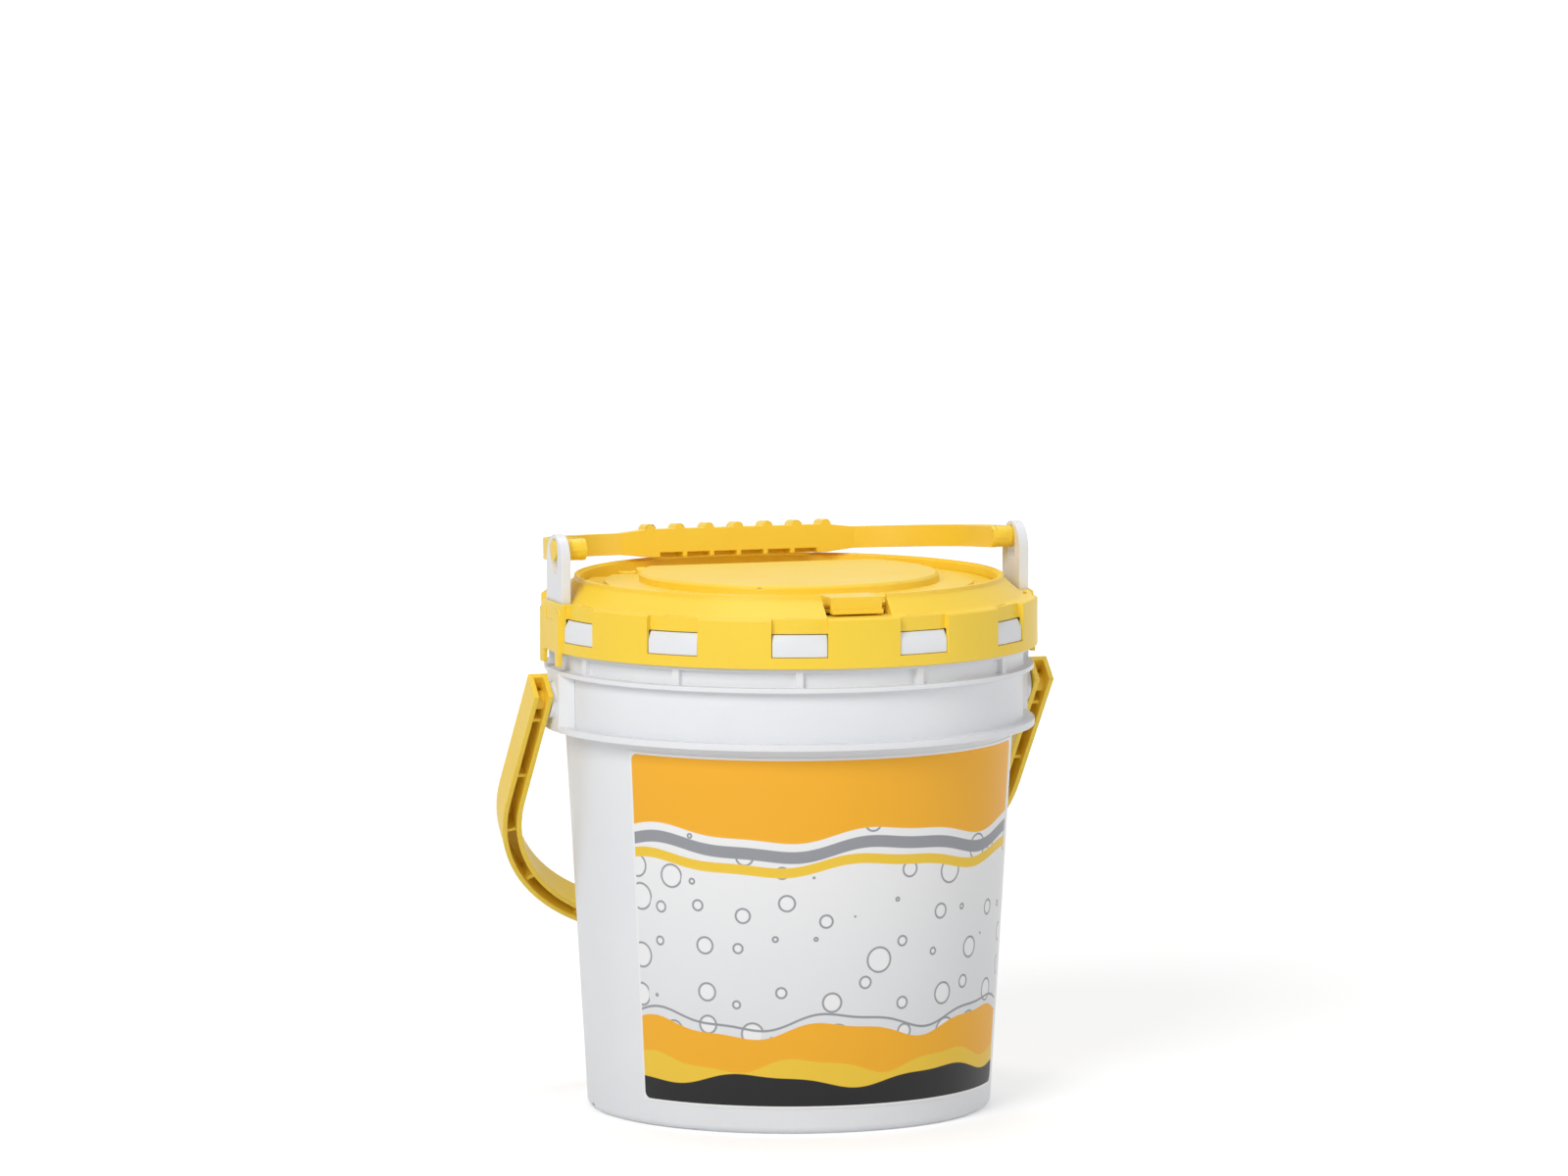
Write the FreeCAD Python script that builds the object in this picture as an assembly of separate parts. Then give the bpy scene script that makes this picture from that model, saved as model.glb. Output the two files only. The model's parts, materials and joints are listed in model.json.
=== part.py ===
import FreeCAD, Part
import math
import os
from FreeCAD import Vector

# Bait bucket: a pail with a bail, and a lift-out bucket with a strainer base, a lid ring,
# a hatch and a bail of its own, which hangs in the pail by its seat flange.
# Millimetres. The origin is the centre of the pail's base, +Z is up, and the front,
# with the latch and the label, is -Y.
# Heights of the lift-out bucket and its lid are counted from the underside of the seat flange.

# Outer bucket
outer_height = 235.0
base_radius = 101.8
body_flare = 11.1
outer_wall = 2.1
outer_floor = 2.4
foot_height = 2.4
foot_width = 7.0
base_corner = 4.0
floor_corner = 3.0
collar_step = 5.3
collar_wall = 2.2
collar_height = 25.3
flange_reach = 5.8
flange_thickness = 3.4
ring_reach = 5.3
ring_thickness = 2.4
rib_band_height = 7.9
rim_rib_count = 12
rim_rib_width = 4.0
rim_rib_reach = 2.8
lip_reach = 3.8
lip_thickness = 2.4
key_width = 9.6
key_reach = 2.4
key_drop = 2.0

# Ears and pegs of the outer bail
outer_ear_reach = 5.8
outer_ear_face = 20.0
outer_ear_base = 34.0
outer_peg_radius = 4.7
peg_clearance = 0.25
socket_depth = 6.6
socket_end_gap = 0.4
ear_pad_radius = 9.0
ear_pad_gap = 0.5

# Outer bail
outer_bail_gap = 3.0
outer_bail_width = 10.0
outer_bail_depth = 16.0
outer_bail_wall = 2.6
outer_bail_length = 174.0
outer_bail_corner = 105.0
outer_bail_end = 10.8
outer_bail_first_rib = 10.0
outer_bail_rib_pitch = 43.0
outer_bail_rib_drop = 3.0
bail_rib = 2.4
bail_wall_gap = 0.3

# Inner bucket
nest_gap = 1.1
sleeve_wall = 2.2
seat_thickness = 2.4
seat_reach = 9.4
rim_height = 21.8
rim_lip = 2.2
rim_lip_reach = 5.4
lug_count = 12
lug_width = 26.0
lug_low = 5.5
lug_high = 16.0
lug_lead = 4.0
lug_wall = 2.2
lug_setback = 0.8
gusset_height = 14.0
gusset_width = 2.4
key_side_gap = 1.0
ear_setback = 3.4
inner_ear_thickness = 5.0
inner_ear_width = 27.0
inner_ear_height = 57.5
ear_crown = 7.9
inner_peg_radius = 5.4
ear_slot_drop = 6.6

# Strainer base
cuff_height = 8.0
cuff_wall = 1.1
cuff_gap = 0.1
strainer_floor = 2.2
strainer_corner = 1.6
slot_count = 36
slot_width = 2.4
slot_length = 15.0
slot_margin = 7.8
bowl_margin = 3.5
bowl_taper = 8.0
bowl_depth = 24.3
bowl_floor_gap = 1.2
bowl_wall = 2.0
bowl_corner = 14.0

# Lid ring
skirt_gap = 1.9
skirt_wall = 2.0
skirt_drop = 0.6
shoulder_corner = 0.9
plug_gap = 2.5
plug_drop = 7.8
cone_width = 9.3
ridge_rise = 9.2
ridge_wall = 2.2
ridge_width = 3.0
ridge_corner = 1.0
bead_width = 1.9
bead_rise = 1.0
ledge_rise = 3.0
ledge_thickness = 2.2
ledge_width = 9.2
deck_lip = 8.0
window_gap = 0.5
window_side_gap = 1.0
lintel_setback = 3.0
lintel_wall = 2.0
core_slot_length = 12.0
core_slot_width = 1.5
ear_gap = 0.5
bracket_thickness = 2.2
bracket_margin = 3.0
bracket_height = 21.0
bracket_dip = 5.5
bracket_dip_width = 14.0
prong_width = 6.5
prong_drop = 7.5
bracket_corner = 3.0
notch_gap = 3.5

# Hatch, its hinge and its latch
hatch_gap = 0.3
hatch_side_gap = 1.5
hatch_plate = 2.0
hatch_step_width = 10.7
hatch_step_rise = 4.0
hatch_top_width = 17.5
hatch_top_rise = 4.5
hatch_top_corner = 1.4
hatch_rib_count = 3
hatch_rib_pitch = 36.0
hinge_setback = 41.7
hinge_rise = 2.6
rod_radius = 1.8
eye_count = 8
eye_pitch = 17.0
eye_width = 5.0
eye_wall = 1.4
eye_clearance = 0.25
web_width = 7.0
web_lift = 0.5
chord_margin = 5.0
chord_step = 5.5
tab_width = 26.5
tab_overhang = 7.5
tab_thickness = 2.2
tab_floor_gap = 1.0
finger_lip = 2.4
catch_width = 11.0
catch_thickness = 2.2
catch_grip = 0.5
catch_gap = 0.5

# Inner bail
inner_bail_gap = 0.6
inner_bail_width = 10.4
inner_bail_depth = 11.0
inner_bail_wall = 2.4
grip_setback = 13.2
inner_bail_corner = 62.0
grip_length = 94.0
grip_taper = 15.0
grip_depth = 14.4
grip_width = 13.0
grip_pocket_count = 6
grip_pocket_margin = 5.0
grip_notch = 2.3
ridge_count = 7
finger_ridge_radius = 2.8
finger_ridge_rise = 2.6
bail_rest_gap = 0.3

# Printed film on the front of the outer bucket
label_low = 13.0
label_margin = 4.6
label_half_angle = 62.0
label_thickness = 0.3
label_gap = 0.05

# Heights and radii that follow
UP = Vector(0, 0, 1)
SIDEWAYS = Vector(1, 0, 0)
CENTRE = Vector(0, 0, 0)
FRONT = -90.0
TINY = 1e-4
ends = (-1, 1)
lip_bottom = outer_height - lip_thickness
ring_top = lip_bottom - rib_band_height
ring_bottom = ring_top - ring_thickness
flange_top = ring_bottom - collar_height
flange_bottom = flange_top - flange_thickness
floor_top = foot_height + outer_floor
body_top_radius = base_radius + body_flare
collar_radius = body_top_radius + collar_step
mouth_radius = collar_radius - collar_wall
flange_radius = collar_radius + flange_reach
ring_radius = collar_radius + ring_reach
rim_radius = collar_radius + lip_reach
outer_ear = collar_radius + outer_ear_reach
outer_pivot_z = (flange_top + ring_bottom) / 2
outer_arm = outer_ear + outer_bail_gap + outer_bail_width / 2
label_high = flange_bottom - label_margin


def body_radius(z):
    """Outside radius of the outer bucket's tapered wall."""
    return base_radius + body_flare * z / flange_bottom


def sleeve_radius(z):
    """Outside radius of the inner bucket's wall, which nests in the outer one, at a height from its seat."""
    return body_radius(outer_height + z) - outer_wall - nest_gap


datum = outer_height
sleeve_top = sleeve_radius(0)
sleeve_mouth = sleeve_top - sleeve_wall
sleeve_depth = outer_height - floor_top - bowl_floor_gap - bowl_depth
seat_radius = sleeve_top + seat_reach
inner_ear_face = seat_radius - ear_setback
ear_outer_face = inner_ear_face + inner_ear_thickness
inner_pivot_height = inner_ear_height - ear_crown
inner_arm = inner_ear_face - inner_bail_gap - inner_bail_width / 2
slot_outer = sleeve_radius(-sleeve_depth) - slot_margin
slot_inner = slot_outer - slot_length
bowl_rim_radius = slot_inner - bowl_margin
bowl_foot_radius = bowl_rim_radius - bowl_taper
skirt_inner = seat_radius + skirt_gap
skirt_radius = skirt_inner + skirt_wall
lug_radius = skirt_radius - lug_setback
window_half = math.degrees((lug_width / 2 + window_side_gap) / skirt_radius)
plug_radius = sleeve_mouth - plug_gap
ridge_inner = plug_radius - ridge_wall
ridge_radius = ridge_inner + ridge_width
cone_foot_radius = ridge_radius + cone_width
opening_radius = ridge_inner - ledge_width
shoulder_height = rim_height + ridge_wall
ridge_height = shoulder_height + ridge_rise
ledge_height = shoulder_height + ledge_rise
cone_rise = ridge_rise - ridge_corner
bracket_width = inner_ear_width + 2 * bracket_margin
notch_width = tab_width + 2 * notch_gap
plate_low = ledge_height + hatch_gap
plate_radius = ridge_inner - hatch_side_gap
hatch_step_radius = plate_radius - hatch_step_width
hatch_step_height = ledge_height + hatch_step_rise
hatch_top_radius = hatch_step_radius - hatch_top_width
hatch_top_height = hatch_step_height + hatch_top_rise
hinge_y = plate_radius - hinge_setback
hinge_z = ledge_height + hinge_rise
opening_chord = hinge_y - deck_lip
plate_chord = hinge_y - chord_margin
eye_bore = rod_radius + eye_clearance
tab_face = -plate_radius - tab_overhang
catch_y = tab_face + tab_thickness + catch_thickness + 3 * catch_grip
nose_top = hatch_step_height - tab_thickness - catch_gap
inner_bail_length = ridge_inner - grip_setback


def outline(corners, place):
    """Closed wire through (u, v, radius) corners. A radius rounds its corner, and below 0 it bevels it."""
    bends = []
    for index, (u, v, radius) in enumerate(corners):
        here = Vector(u, v, 0)
        if radius == 0:
            bends.append((here, here, here))
            continue
        back = (Vector(*corners[index - 1][:2], 0) - here).normalize()
        ahead = (Vector(*corners[(index + 1) % len(corners)][:2], 0) - here).normalize()
        half = back.getAngle(ahead) / 2
        inward = (back + ahead).normalize()
        reach = abs(radius) / math.tan(half)
        bulge = radius / math.sin(half) - radius
        bends.append((here + back * reach, here + inward * bulge, here + ahead * reach))
    edges = []
    for bend, corner, following in zip(bends, corners, bends[1:] + bends[:1]):
        first, middle, last = (place(point.x, point.y) for point in bend)
        if corner[2] > 0:
            edges.append(Part.Arc(first, middle, last).toShape())
        elif corner[2] < 0:
            edges.append(Part.makeLine(first, last))
        start = place(following[0].x, following[0].y)
        if last.distanceToPoint(start) > TINY:
            edges.append(Part.makeLine(last, start))
    return Part.Wire(edges)


def turned(corners, middle=0.0, sweep=360.0):
    """Solid of revolution about Z from (radius, height, rounding) corners, centred on an angle."""
    start = math.radians(middle - sweep / 2)
    face = Part.Face(outline(corners, lambda r, z: Vector(r * math.cos(start), r * math.sin(start), z)))
    return face.revolve(CENTRE, UP, sweep)


def sector(r_low, r_high, z_low, z_high, middle, sweep):
    """Block of a ring, between two radii, two heights and two angles."""
    corners = [(r_low, z_low, 0), (r_high, z_low, 0), (r_high, z_high, 0), (r_low, z_high, 0)]
    return turned(corners, middle, sweep)


def box(x_low, x_high, y_low, y_high, z_low, z_high):
    return Part.makeBox(x_high - x_low, y_high - y_low, z_high - z_low, Vector(x_low, y_low, z_low))


def rod_x(radius, x_low, x_high, y, z):
    """Round bar along X."""
    return Part.makeCylinder(radius, x_high - x_low, Vector(x_low, y, z), SIDEWAYS)


def spun(shape, angle):
    return shape.rotated(CENTRE, UP, angle)


def both_sides(shape):
    """A shape on the +X side and its mirror image."""
    return [shape, shape.mirror(CENTRE, SIDEWAYS)]


def joined(first, others):
    return first.multiFuse(others).removeSplitter()


def angles(count, first):
    return [first + 360.0 * index / count for index in range(count)]


def outer_bucket():
    shoulder = mouth_radius - (body_top_radius - outer_wall)
    root = mouth_radius + collar_wall / 2
    pail = turned([
        (0, foot_height, 0),
        (base_radius - foot_width, foot_height, 0),
        (base_radius - foot_width, 0, 0),
        (base_radius, 0, base_corner),
        (body_top_radius, flange_bottom, 0),
        (flange_radius, flange_bottom, 0),
        (flange_radius, flange_top, 0),
        (collar_radius, flange_top, 0),
        (collar_radius, ring_bottom, 0),
        (ring_radius, ring_bottom, 0),
        (ring_radius, ring_top, 0),
        (collar_radius, ring_top, 0),
        (collar_radius, lip_bottom, 0),
        (rim_radius, lip_bottom, 0),
        (rim_radius, outer_height, 0),
        (mouth_radius, outer_height, 0),
        (mouth_radius, flange_bottom + shoulder, 0),
        (body_top_radius - outer_wall, flange_bottom, 0),
        (body_radius(floor_top) - outer_wall, floor_top, -floor_corner),
        (0, floor_top, 0),
    ])
    rib = box(root, collar_radius + rim_rib_reach, -rim_rib_width / 2, rim_rib_width / 2,
              ring_top - ring_thickness / 2, lip_bottom + lip_thickness / 2)
    ribs = [spun(rib, angle) for angle in angles(rim_rib_count, FRONT + 180.0 / rim_rib_count)]
    key = box(-key_width / 2, key_width / 2, mouth_radius - key_reach, root,
              flange_top, outer_height - key_drop)
    ear_plan = [(root, -outer_ear_base / 2, 0), (outer_ear, -outer_ear_face / 2, 0),
                (outer_ear, outer_ear_face / 2, 0), (root, outer_ear_base / 2, 0)]
    ear = Part.Face(outline(ear_plan, lambda x, y: Vector(x, y, flange_top - flange_thickness / 2)))
    ear = ear.extrude(UP * (collar_height + (flange_thickness + ring_thickness) / 2))
    pad = rod_x(ear_pad_radius, root, outer_ear + outer_bail_gap - ear_pad_gap, 0, outer_pivot_z)
    pail = joined(pail, ribs + [key] + both_sides(ear) + both_sides(pad))
    socket = rod_x(outer_peg_radius + peg_clearance, outer_ear - socket_depth, outer_ear + outer_ear_reach,
                   0, outer_pivot_z)
    return pail.cut(both_sides(socket))


def bow(inward, outward, arm, length, corner, y_low, y_high, foot=0.0):
    """Upright U-shaped band in the XZ plane, between two distances from the bail's mid-line."""
    near, far = -inward, outward
    corners = [
        (-arm - far, foot, 0), (-arm - far, length + far, corner + far),
        (arm + far, length + far, corner + far), (arm + far, foot, 0),
        (arm + near, foot, 0), (arm + near, length + near, corner + near),
        (-arm - near, length + near, corner + near), (-arm - near, foot, 0),
    ]
    face = Part.Face(outline(corners, lambda x, z: Vector(x, y_low, z)))
    return face.extrude(Vector(0, y_high - y_low, 0))


def bow_place(distance, arm, length, corner):
    """Point and turn of the bail's mid-line at a distance along it from the +X pivot."""
    straight = length - corner
    quarter = corner * math.pi / 2
    if distance <= straight:
        return arm, distance, 0.0
    if distance <= straight + quarter:
        turn = (distance - straight) / corner
        x = arm - corner + corner * math.cos(turn)
        return x, straight + corner * math.sin(turn), math.degrees(turn)
    return arm - corner - (distance - straight - quarter), length, 90.0


def outer_bail():
    half, depth = outer_bail_width / 2, outer_bail_depth / 2
    shape = (outer_arm, outer_bail_length, outer_bail_corner)
    bail = bow(half, half, *shape, -depth, depth, -outer_bail_end)
    inside = half - outer_bail_wall
    bail = bail.cut(bow(inside, inside, *shape, outer_bail_wall - depth, depth, -outer_bail_depth))
    half_run = outer_bail_length + outer_arm + outer_bail_corner * (math.pi / 2 - 2)
    rib_run = half_run - outer_bail_first_rib
    spaces = round(rib_run / outer_bail_rib_pitch)
    ribs = []
    for index in range(spaces + 1):
        x, z, turn = bow_place(outer_bail_first_rib + rib_run * index / spaces, *shape)
        rib = box(-half + outer_bail_wall / 2, half - outer_bail_wall / 2,
                  -depth, depth - outer_bail_rib_drop, -bail_rib / 2, bail_rib / 2)
        rib = rib.rotated(CENTRE, Vector(0, 1, 0), -turn).translated(Vector(x, 0, z))
        ribs += both_sides(rib)
    peg = rod_x(outer_peg_radius, outer_ear - socket_depth + socket_end_gap,
                outer_arm + half - outer_bail_wall / 2, 0, 0)
    bail = joined(bail, ribs + both_sides(peg))
    bail = bail.rotated(CENTRE, SIDEWAYS, outer_hang_angle() - 180.0)
    return bail.translated(Vector(0, 0, outer_pivot_z))


def outer_hang_angle():
    """Angle from straight down at which the hanging bail's cross-piece lies against the back wall."""
    reach = outer_bail_length - outer_bail_width / 2
    depth = outer_bail_depth / 2
    low, high = 0.0, 90.0
    for _ in range(40):
        angle = math.radians((low + high) / 2)
        y = reach * math.sin(angle) - depth * math.cos(angle)
        z = outer_pivot_z - reach * math.cos(angle) - depth * math.sin(angle)
        if y - body_radius(z) < bail_wall_gap:
            low = (low + high) / 2
        else:
            high = (low + high) / 2
    return high


def inner_bucket():
    end = strainer_floor - sleeve_depth
    cuff = cuff_height - sleeve_depth
    rebate = cuff_wall + cuff_gap
    lip_radius = sleeve_top + rim_lip_reach
    bucket = turned([
        (sleeve_radius(end) - sleeve_wall, end, 0),
        (sleeve_radius(end) - rebate, end, 0),
        (sleeve_radius(cuff) - rebate, cuff, 0),
        (sleeve_radius(cuff), cuff, 0),
        (sleeve_top, 0, 0),
        (seat_radius, 0, 0),
        (seat_radius, seat_thickness, 0),
        (sleeve_top, seat_thickness, 0),
        (sleeve_top, rim_height - rim_lip, 0),
        (lip_radius, rim_height - rim_lip, 0),
        (lip_radius, rim_height, 0),
        (sleeve_mouth, rim_height, 0),
        (sleeve_mouth, 0, 0),
    ])
    root = sleeve_top - sleeve_wall / 2
    lug_profile = [
        (root, lug_high - lug_wall, 0), (lug_radius - lug_wall, lug_high - lug_wall, 0),
        (lug_radius - lug_wall, lug_low, 0), (lug_radius, lug_low, 0),
        (lug_radius, lug_high - lug_lead, 0), (lug_radius - lug_wall, lug_high, 0), (root, lug_high, 0),
    ]
    lug_sweep = math.degrees(lug_width / skirt_radius)
    lug_angles = angles(lug_count, FRONT + 180.0 / lug_count)
    extras = [turned(lug_profile, angle, lug_sweep) for angle in lug_angles]
    fin_foot = sleeve_radius(-gusset_height)
    fin_plan = [(root, 0, 0), (mouth_radius - nest_gap, 0, 0), (fin_foot, -gusset_height, 0),
                (fin_foot - sleeve_wall / 2, -gusset_height, 0)]
    fin = Part.Face(outline(fin_plan, lambda x, z: Vector(x, -gusset_width / 2, z)))
    fin = fin.extrude(Vector(0, gusset_width, 0))
    back = FRONT + 180.0
    for angle in angles(lug_count, FRONT):
        if abs(angle - back) > TINY:
            extras.append(spun(fin, angle))
    beside_key = (key_width + gusset_width) / 2 + key_side_gap
    extras += [spun(fin.translated(Vector(0, side * beside_key, 0)), back) for side in ends]
    ear_plan = [(-inner_ear_width / 2, 0, 0), (inner_ear_width / 2, 0, 0),
                (inner_ear_width / 2, inner_ear_height, inner_ear_width / 2 - TINY),
                (-inner_ear_width / 2, inner_ear_height, inner_ear_width / 2 - TINY)]
    ear = Part.Face(outline(ear_plan, lambda y, z: Vector(inner_ear_face, y, z)))
    ear = ear.extrude(SIDEWAYS * inner_ear_thickness)
    foot = box(root, inner_ear_face + inner_ear_thickness / 2, -inner_ear_width / 2, inner_ear_width / 2,
               0, seat_thickness)
    extras += both_sides(ear) + both_sides(foot)
    for side in ends:
        y = side * (inner_ear_width - lug_wall) / 2
        stay = box(root, inner_ear_face + inner_ear_thickness / 2, y - lug_wall / 2, y + lug_wall / 2,
                   0, rim_height - rim_lip / 2)
        extras += both_sides(stay)
    bucket = joined(bucket, extras)
    slot_radius = inner_peg_radius + peg_clearance
    x_low, x_high = inner_ear_face - inner_ear_thickness, ear_outer_face + inner_ear_thickness
    slot_low = inner_pivot_height - ear_slot_drop
    slot = joined(rod_x(slot_radius, x_low, x_high, 0, inner_pivot_height), [
        rod_x(slot_radius, x_low, x_high, 0, slot_low),
        box(x_low, x_high, -slot_radius, slot_radius, slot_low, inner_pivot_height)])
    return bucket.cut(both_sides(slot)).translated(UP * datum)


def strainer_base():
    low = -sleeve_depth
    floor = low + strainer_floor
    cuff = low + cuff_height
    bowl_low = low - bowl_depth
    base = turned([
        (0, bowl_low, 0),
        (bowl_foot_radius, bowl_low, bowl_corner),
        (bowl_rim_radius, low, 0),
        (sleeve_radius(low), low, -strainer_corner),
        (sleeve_radius(cuff), cuff, 0),
        (sleeve_radius(cuff) - cuff_wall, cuff, 0),
        (sleeve_radius(floor) - cuff_wall, floor, 0),
        (bowl_rim_radius - bowl_wall, floor, 0),
        (bowl_foot_radius - bowl_wall, bowl_low + bowl_wall, bowl_wall - bowl_corner),
        (0, bowl_low + bowl_wall, 0),
    ])
    slot = box(slot_inner, slot_outer, -slot_width / 2, slot_width / 2,
               low - strainer_floor, floor + strainer_floor)
    return base.cut([spun(slot, angle) for angle in angles(slot_count, FRONT)]).translated(UP * datum)


def ridge_slope(radius):
    """Height of the lid's conical wall at a radius."""
    return shoulder_height + (cone_foot_radius - radius) * cone_rise / cone_width


def lid_ring():
    under = ridge_wall * math.hypot(cone_rise, cone_width) / cone_width
    hollow_foot = cone_foot_radius + (ridge_wall - under) * cone_width / cone_rise
    ring = turned([
        (skirt_inner, -skirt_drop, 0),
        (skirt_radius, -skirt_drop, 0),
        (skirt_radius, shoulder_height, -shoulder_corner),
        (cone_foot_radius, shoulder_height, 0),
        (ridge_radius, ridge_height - ridge_corner, 0),
        (ridge_radius, ridge_height + bead_rise, 0),
        (ridge_radius - bead_width, ridge_height + bead_rise, 0),
        (ridge_radius - bead_width, ridge_height, 0),
        (ridge_inner, ridge_height, 0),
        (ridge_inner, ledge_height, 0),
        (opening_radius, ledge_height, 0),
        (opening_radius, ledge_height - ledge_thickness, 0),
        (ridge_inner, ledge_height - ledge_thickness, 0),
        (ridge_inner, rim_height - plug_drop, 0),
        (plug_radius, rim_height - plug_drop, 0),
        (plug_radius, ridge_slope(plug_radius) - under, 0),
        (hollow_foot, rim_height, 0),
        (skirt_inner, rim_height, 0),
    ])
    deck_low = UP * (ledge_height - ledge_thickness)
    deck = Part.makeCylinder(ridge_inner + ridge_wall / 2, ledge_thickness, deck_low)
    deck = deck.common(box(-skirt_radius, skirt_radius, opening_chord, skirt_radius, 0, ridge_height))
    return finish_lid(joined(ring, [deck])).translated(UP * datum)


def finish_lid(lid):
    """Windows over the lugs, latch notch, ear brackets and hinge eyes of the lid ring."""
    sill = lug_low - window_gap
    head = lug_high + window_gap
    recess = skirt_radius - lintel_setback
    window_angles = angles(lug_count, FRONT + 180.0 / lug_count)
    return_sweep = math.degrees(lintel_wall / skirt_radius)
    cuts = []
    adds = []
    for middle in window_angles:
        cuts.append(sector(recess, skirt_radius + skirt_wall, sill, shoulder_height + skirt_wall,
                           middle, 2 * window_half))
        adds.append(sector(recess - lintel_wall, recess, head, shoulder_height, middle,
                           2 * window_half + return_sweep))
        for side in ends:
            edge = middle + side * (window_half + return_sweep / 2)
            adds.append(sector(recess - lintel_wall, skirt_radius - skirt_wall / 2,
                               head, shoulder_height - skirt_wall, edge, return_sweep))
    notch = box(-notch_width / 2, notch_width / 2, -skirt_radius, -plate_radius,
                shoulder_height, ridge_height + ridge_wall)
    lid = lid.cut(cuts + [notch])
    core_radius = (cone_foot_radius + recess - lintel_wall) / 2
    core_sweep = math.degrees(core_slot_length / core_radius)
    cores = [sector(core_radius - core_slot_width / 2, core_radius + core_slot_width / 2,
                    shoulder_height - 2 * ridge_wall, shoulder_height + ridge_wall, middle, core_sweep)
             for middle in window_angles]
    lid = joined(lid, adds + notch_walls() + [catch()] + eyes()).cut(cores)
    ear_half = inner_ear_width / 2 + ear_gap
    ear_hole = box(inner_ear_face - ear_gap, ear_outer_face + ear_gap, -ear_half, ear_half,
                   -prong_drop, ridge_height)
    lid = lid.cut(both_sides(ear_hole))
    return joined(lid, both_sides(bracket())).cut(bores())


def notch_walls():
    """Floor and cheeks that close the hollow ridge where the latch notch cuts it."""
    envelope = turned([
        (ridge_inner, rim_height, 0), (cone_foot_radius, rim_height, 0),
        (cone_foot_radius, shoulder_height, 0), (ridge_radius, ridge_height - ridge_corner, 0),
        (ridge_radius - ridge_corner, ridge_height, 0), (ridge_inner, ridge_height, 0),
    ])
    half = notch_width / 2
    floor = box(-half - ridge_wall, half + ridge_wall, -skirt_radius, 0, 0, shoulder_height)
    cheek = box(half, half + ridge_wall, -skirt_radius, 0, 0, ridge_height)
    return [envelope.common(part) for part in [floor] + both_sides(cheek)]


def catch():
    """Upright tongue with a nose that the hatch's latch tab snaps under."""
    face = catch_y - catch_thickness
    stem = box(-catch_width / 2, catch_width / 2, face, catch_y, shoulder_height - ridge_wall / 2, nose_top)
    nose = box(-catch_width / 2, catch_width / 2, face - 2 * catch_grip, face,
               nose_top - catch_thickness / 2, nose_top)
    return stem.fuse(nose)


def eye_places():
    return [eye_pitch * (index - (eye_count - 1) / 2) for index in range(eye_count)]


def eyes():
    """Hinge eyes standing on the lid's deck."""
    radius = eye_bore + eye_wall
    shapes = []
    for x in eye_places():
        low, high = x - eye_width / 2, x + eye_width / 2
        shapes.append(rod_x(radius, low, high, hinge_y, hinge_z))
        shapes.append(box(low, high, hinge_y - radius, hinge_y + radius,
                          ledge_height - ledge_thickness / 2, hinge_z))
    return shapes


def bores():
    reach = eye_pitch * eye_count / 2
    return [rod_x(eye_bore, -reach, reach, hinge_y, hinge_z)]


def bracket():
    """Plate that passes outside the inner bucket's ear, with a dipped top and two hanging prongs."""
    half = bracket_width / 2
    inner = half - prong_width
    dip = bracket_dip_width / 2
    low = -skirt_drop
    plan = [
        (-half, -prong_drop, 0), (-inner, -prong_drop, 0), (-inner, low, 0), (inner, low, 0),
        (inner, -prong_drop, 0), (half, -prong_drop, 0), (half, bracket_height, bracket_corner),
        (dip, bracket_height, bracket_corner), (dip, bracket_height - bracket_dip, 0),
        (-dip, bracket_height - bracket_dip, 0), (-dip, bracket_height, bracket_corner),
        (-half, bracket_height, bracket_corner),
    ]
    face = Part.Face(outline(plan, lambda y, z: Vector(ear_outer_face + ear_gap, y, z)))
    return face.extrude(SIDEWAYS * bracket_thickness)


def d_plate(radius, chord, low, high):
    """Disc with its back cut off straight."""
    disc = Part.makeCylinder(radius, high - low, UP * low)
    return disc.common(box(-radius, radius, -radius, chord, low, high))


def hatch():
    step_chord = plate_chord - chord_step
    top_chord = step_chord - chord_step
    top = d_plate(hatch_top_radius, top_chord, plate_low, hatch_top_height)
    rim = [edge for edge in top.Edges if edge.BoundBox.ZMin > hatch_top_height - TINY]
    top = top.makeChamfer(hatch_top_corner, rim)
    door = joined(d_plate(plate_radius, plate_chord, plate_low, plate_low + hatch_plate),
                  [d_plate(hatch_step_radius, step_chord, plate_low, hatch_step_height), top])
    step_hollow = d_plate(hatch_step_radius - hatch_plate, step_chord - hatch_plate,
                          plate_low - hatch_plate, hatch_step_height - hatch_plate)
    top_hollow = d_plate(hatch_top_radius - hatch_plate, top_chord - hatch_plate,
                         plate_low - hatch_plate, hatch_top_height - hatch_plate)
    door = door.cut([step_hollow, top_hollow])
    extras = [latch_tab()]
    for index in range(hatch_rib_count):
        x = hatch_rib_pitch * (index - (hatch_rib_count - 1) / 2)
        length = math.sqrt(hatch_top_radius ** 2 - x ** 2) - hatch_plate / 2
        extras.append(box(x - hatch_plate / 2, x + hatch_plate / 2, -length, top_chord - hatch_plate / 2,
                          plate_low, hatch_top_height - hatch_plate / 2))
    reach = eye_pitch * eye_count / 2
    extras.append(rod_x(rod_radius, -reach, reach, hinge_y, hinge_z))
    for index in range(eye_count + 1):
        x = eye_pitch * (index - eye_count / 2)
        extras.append(box(x - web_width / 2, x + web_width / 2, plate_chord - hatch_plate, hinge_y,
                          plate_low + web_lift, hinge_z + rod_radius))
    return joined(door, extras).translated(UP * datum)


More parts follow.
